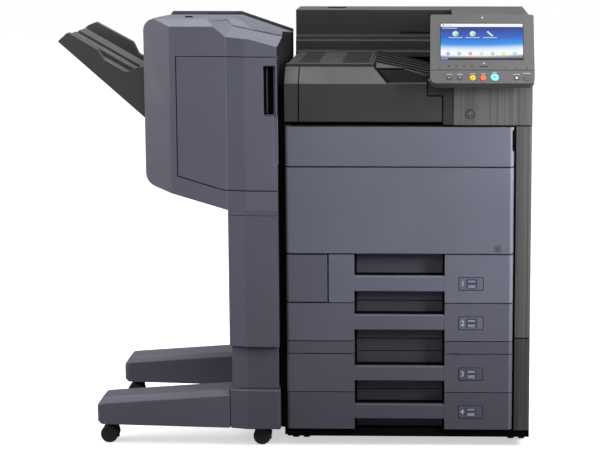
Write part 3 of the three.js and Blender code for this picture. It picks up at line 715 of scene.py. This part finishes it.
KEY_SPOTS = {"program": (98.5, 14.5, 5.5), "home": (124, 14.5, 5.5), "reset": (154.5, 14.5, 7.5),
             "stop": (180, 14.5, 7.5), "start": (207, 16, 10), "login": (284, 15, 9)}
for key, (x, v, radius) in KEY_SPOTS.items():
    face = slab(panel, (x, v), (radius * 0.66, radius * 0.66), 1.2, 1.85, 2, 0.4)
    material = {"reset": KEY_YELLOW, "stop": KEY_ORANGE, "start": KEY_CYAN}.get(key, KEY_GREY)
    build(f"key_face_{key}", [face], material, f"key_{key}")
    if key != "login":
        dot = slab(panel, (x, v), (radius * 0.16, radius * 0.2), 1.7, 2.0, 2, 0.1, 16)
        build(f"key_dot_{key}", [dot], PALE_MARK if key in ("program", "home") else KEY_GREY, f"key_{key}")
captions = [slab(panel, (x, v), (half, 0.55), -0.1, 0.22, 8, 0.05, 12)
            for x, v, half in ((98.5, 24, 7), (124, 24, 6), (154.5, 25.5, 7), (180, 25.5, 6), (207, 29.5, 6),
                               (259.7, 24, 8), (284, 27, 9))]
build("key_captions", captions, PALE_MARK, "touch_panel")

low, high = node_box("power_button")
button_plane = front_plane("power_button")
centre = ((low[0] + high[0]) / 2, (low[2] + high[2]) / 2)
build("power_ring", [slab(button_plane, centre, (8.4, 8.4), -0.3, 0.35, 2, 0.3)], KEY_GREY, "power_button")
build("power_face", [slab(button_plane, centre, (6.9, 6.9), 0.3, 0.7, 2, 0.35)], STREAKED_BUTTON,
      "power_button")
build("power_stroke", [slab(button_plane, (centre[0], centre[1] + 2.2), (0.7, 2.2), 0.6, 0.85, 6, 0.1, 16)],
      PALE_MARK, "power_button")
print("keys with faces:", len(KEY_SPOTS))


# %% [markdown]
# ## Grilles, slots and screws
#
# Air can leave through slots in the back and the left side cover, each a dark strip with rounded
# ends and a thin lip above it. The bridge lid has two fields of dark strips, on its ribs and in the
# gaps between them. Covers are held by countersunk screws: a head and the two bars of its cross.
# A socket for a power lead sits low on the back: a frame, a dark well and three pins.

# %%
# Vent slots in the bridge lid
lid_plane = Plane((0, 0, 0), (1, 0, 0), (0, 1, 0))
lid_low, lid_high = node_box("bridge_lid")
RIB_PITCH, RIB_WIDTH, FIRST_RIB, RIB_HEIGHT = 27.0, 12.0, 76.0 - 270.0, 5.0
VENT_FIELDS, VENT_ROWS = ((12, 62), (118, 186)), 12    # row X of both fields
vents = []
for row in range(VENT_ROWS):
    rib = FIRST_RIB + row * RIB_PITCH + RIB_WIDTH / 2
    for left, right in VENT_FIELDS:
        middle, half = (left + right) / 2, (right - left) / 2
        for offset, width, crown in ((0, 3.6, lid_high[2]), (RIB_PITCH / 2, 5.5, lid_high[2] - RIB_HEIGHT)):
            vents.append(slab(lid_plane, (middle, rib + offset), (half, width), crown - 0.6, crown + 0.15, 8,
                              0.1, 16))
build("bridge_lid_vents", vents, VOID_BLACK, "bridge_lid")
print("vent slots:", len(vents))

# %%
# Louvres and screws on the back, side and doors
back = Plane((0, node_box("main_frame")[1][1] * MM, 0), (-1, 0, 0), (0, 0, 1))
side = Plane((node_box("left_side_cover")[0][0] * MM, 0, 0), (0, -1, 0), (0, 0, 1))


def louvres(plane, across, up, half_width, rows, pitch):
    """Dark strips with a lip over each, stacked up the plane."""
    strips = [slab(plane, (across, up + row * pitch), (half_width, 2.2), -0.3, 0.15, 10, 0.1, 20)
              for row in range(rows)]
    lips = [slab(plane, (across, up + row * pitch + 3.0), (half_width + 1, 1.0), -0.3, 0.9, 8, 0.4, 20)
            for row in range(rows)]
    return strips, lips


def screws(plane, spots, radius=3.4):
    """Dished screw heads and their cross slots."""
    heads = [slab(plane, spot, (radius, radius), -0.3, 0.5, 2, 0.35, 24) for spot in spots]
    crosses = [slab(plane, spot, half, 0.3, 0.56, 8, 0.05, 12) for spot in spots
               for half in ((radius * 0.55, 0.45), (0.45, radius * 0.55))]
    return heads, crosses


strips, lips = louvres(side, -70, 560, 70, 12, 10)
build("side_vent_slots", strips, INNER_BLACK, "machine")
build("side_vent_lips", lips, SLATE, "machine")
heads, crosses = screws(side, [(-300, 70), (230, 70), (-300, 780), (230, 780)])
build("side_screws", heads, STEEL, "machine")
build("side_screw_slots", crosses, INNER_BLACK, "machine")

strips, lips = louvres(back, -430, 640, 90, 16, 10)
more_strips, more_lips = louvres(back, -160, 700, 60, 8, 10)
build("back_vent_slots", strips + more_strips, INNER_BLACK, "machine")
build("back_vent_lips", lips + more_lips, FRAME_PAINT, "machine")
heads, crosses = screws(back, [(across, up) for across in (-565, -283, -2) for up in (70, 480, 915)])
build("back_screws", heads, STEEL, "machine")
build("back_screw_slots", crosses, INNER_BLACK, "machine")
panel_seams = [slab(back, (-283, up), (292, 0.8), -0.3, 0.12, 30, 0.05, 40) for up in (300, 600)]
panel_seams.append(slab(back, (-283, 790), (0.8, 130), -0.3, 0.12, 30, 0.05, 40))
build("back_seams", panel_seams, INNER_BLACK, "machine")

INLET = (-500, 110)
build("inlet_frame", [slab(back, INLET, (24, 17), -0.3, 1.4, 10, 0.5)], KEY_GREY, "machine")
build("inlet_well", [slab(back, INLET, (18, 11), 1.2, 1.5, 10, 0.1)], INNER_BLACK, "machine")
pins = [slab(back, (INLET[0] + across, INLET[1] + up), (1.1, 3.0), 1.4, 1.8, 8, 0.1, 12)
        for across, up in ((-8, -1), (0, 3), (8, -1))]
build("inlet_pins", pins, STEEL, "machine")
print("louvres, screws and power inlet placed")


# %% [markdown]
# ## Finisher details
#
# The finisher's door is pulled open by a tall recess at its right edge, lined in black with one
# lighter rib. A small dark lens stands on the top beside the cover's seam: its face leans forward,
# so that its plane is turned back from upright by 50 degrees.

# %%
# Grip lining and sensor window
door_low, door_high = node_box("finisher_door")
GRIP_FLOOR_MM = 19.0               # behind the door's frontmost face
grip = Plane((0, (door_low[1] + GRIP_FLOOR_MM) * MM, 0), (1, 0, 0), (0, 0, 1))
grip_x, grip_z = door_high[0] - 22.0, 893.0
build("finisher_grip_lining", [slab(grip, (grip_x, grip_z), (11.5, 58), -0.3, 0.6, 20)], VOID_BLACK,
      "finisher_door")
ribs = [slab(grip, (grip_x - 4.0, grip_z), (2.0, 55), 0.5, 2.2, 12, 0.7)]
build("finisher_grip_ribs", ribs, KEY_GREY, "finisher_door")

LENS_BACK, LENS_HEIGHT, LENS_SEAM_GAP = 0.30, 1056.6, 9.6
cover_low, cover_high = node_box("finisher_top_cover")
lens_y = cover_low[1] + LENS_BACK * (cover_high[1] - cover_low[1])
lean = math.radians(50)
lens = Plane(((cover_low[0] - LENS_SEAM_GAP) * MM, lens_y * MM, LENS_HEIGHT * MM), (1, 0, 0),
             (0, math.sin(lean), math.cos(lean)))
build("finisher_lens", [slab(lens, (0, 0), (9.5, 8.0), -5.0, 1.0, 10, 0.4)], VOID_BLACK, "machine")
print("grip lining at x", round(float(grip_x), 1))


# %% [markdown]
# ## The room for the picture
#
# A plain white floor and soft studio light. The strongest light on the fronts is a tall strip close
# by on the right, so they darken toward the left and the floor. A second strip stands further off on
# the left, a faint lamp hangs in front, and a broad one overhead makes the tops lighter than the
# fronts. Floor and backdrop are white to the camera alone: what they throw on the machine is much
# weaker. The camera stands in front of the copier, a little right of its middle, and looks down by
# about 8 degrees.

# %%
# Floor, light and camera
floor_mesh = bpy.data.meshes.new("studio_floor")
REACH = 14.0
floor_mesh.from_pydata([(-REACH, -REACH, 0), (REACH, -REACH, 0), (REACH, REACH, 0), (-REACH, REACH, 0)], [],
                       [(0, 1, 2, 3)])
floor_recipe = Recipe("studio_floor")
pale = floor_recipe.ramp(floor_recipe.noise(1.5, 2),
                         [(0.3, (0.90, 0.90, 0.90, 1)), (0.7, (0.93, 0.93, 0.93, 1))])
seen = floor_recipe.add("ShaderNodeLightPath").outputs["Is Camera Ray"]
FLOOR_BOUNCE, FLOOR_GLOW = (0.16, 0.16, 0.17, 1), 0.56
choice = floor_recipe.add("ShaderNodeMix", data_type="RGBA")
floor_recipe.link(seen, choice.inputs["Factor"])
choice.inputs["A"].default_value = FLOOR_BOUNCE
floor_recipe.link(pale, choice.inputs["B"])
floor_recipe.link(choice.outputs["Result"], floor_recipe.shader.inputs["Base Color"])
glow = floor_recipe.add("ShaderNodeMath", operation="MULTIPLY")
glow.inputs[1].default_value = FLOOR_GLOW
floor_recipe.link(seen, glow.inputs[0])
floor_recipe.shader.inputs["Emission Color"].default_value = (1, 1, 1, 1)
floor_recipe.link(glow.outputs[0], floor_recipe.shader.inputs["Emission Strength"])
floor_recipe.shader.inputs["Roughness"].default_value = 0.8
floor_mesh.materials.append(floor_recipe.material)
floor = bpy.data.objects.new("studio_floor", floor_mesh)
bpy.context.collection.objects.link(floor)
floor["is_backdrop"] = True

world = bpy.data.worlds.new("studio")
world.use_nodes = True
sky = world.node_tree
backdrop = sky.nodes["Background"]
direction = sky.nodes.new("ShaderNodeTexCoord").outputs["Generated"]
split = sky.nodes.new("ShaderNodeSeparateXYZ")
sky.links.new(direction, split.inputs["Vector"])
dome = sky.nodes.new("ShaderNodeMapRange")
for socket, number in zip(("From Min", "From Max", "To Min", "To Max"), (0.25, 1.0, 0.12, 1.05)):
    dome.inputs[socket].default_value = number
sky.links.new(split.outputs["Z"], dome.inputs["Value"])
seen = sky.nodes.new("ShaderNodeLightPath").outputs["Is Camera Ray"]
strength = sky.nodes.new("ShaderNodeMath")
strength.operation = "MAXIMUM"
sky.links.new(dome.outputs["Result"], strength.inputs[0])
sky.links.new(seen, strength.inputs[1])
backdrop.inputs["Color"].default_value = (1.0, 1.0, 1.0, 1)
sky.links.new(strength.outputs[0], backdrop.inputs["Strength"])
bpy.context.scene.world = world
bpy.context.scene.view_settings.view_transform = "Standard"


def lamp(name, place, target, size, power, spread=180):
    """A soft lamp of width and height `size` at a place, facing a target; `spread` in degrees."""
    data = bpy.data.lights.new(name, "AREA")
    data.shape = "RECTANGLE"
    data.size, data.size_y = size
    data.energy = power
    data.spread = math.radians(spread)
    holder = bpy.data.objects.new(name, data)
    holder.location = place
    heading = np.array(target) - np.array(place)
    yaw = math.atan2(-heading[0], heading[1])
    holder.rotation_euler = (math.atan2(math.hypot(*heading[:2]), -heading[2]), 0, yaw)
    bpy.context.collection.objects.link(holder)
    holder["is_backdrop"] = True


lamp("key_light", (0.4, -2.8, 2.2), (0.25, 0, 0.95), (1.6, 0.9), 2.0, 70)
lamp("right_strip", (1.42, -0.90, 1.15), (0.3, -0.2, 0.85), (0.35, 0.8), 18)
lamp("left_strip", (-2.3, -0.55, 1.2), (-0.4, -0.2, 0.7), (0.6, 1.4), 16)
lamp("top_light", (-0.2, 0.5, 3.0), (-0.1, 0.1, 0.7), (2.6, 1.8), 44)

camera_data = bpy.data.cameras.new("camera")
camera_data.lens = 109.53
camera_data.shift_x = -0.166
camera_data.shift_y = -0.082
camera = bpy.data.objects.new("camera", camera_data)
camera.location = (0.3515, -4.670, 1.3452)
camera.rotation_euler = (math.pi / 2 - 0.1488, 0, 0.0203)
bpy.context.collection.objects.link(camera)
bpy.context.scene.camera = camera
camera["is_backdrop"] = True

# %%
# Sizes before and after
visual_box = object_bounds()
sizes = {"cad": [list(corner) for corner in cad_box], "visual": [list(corner) for corner in visual_box]}
print("box:", [round(v, 4) for corner in visual_box for v in corner])
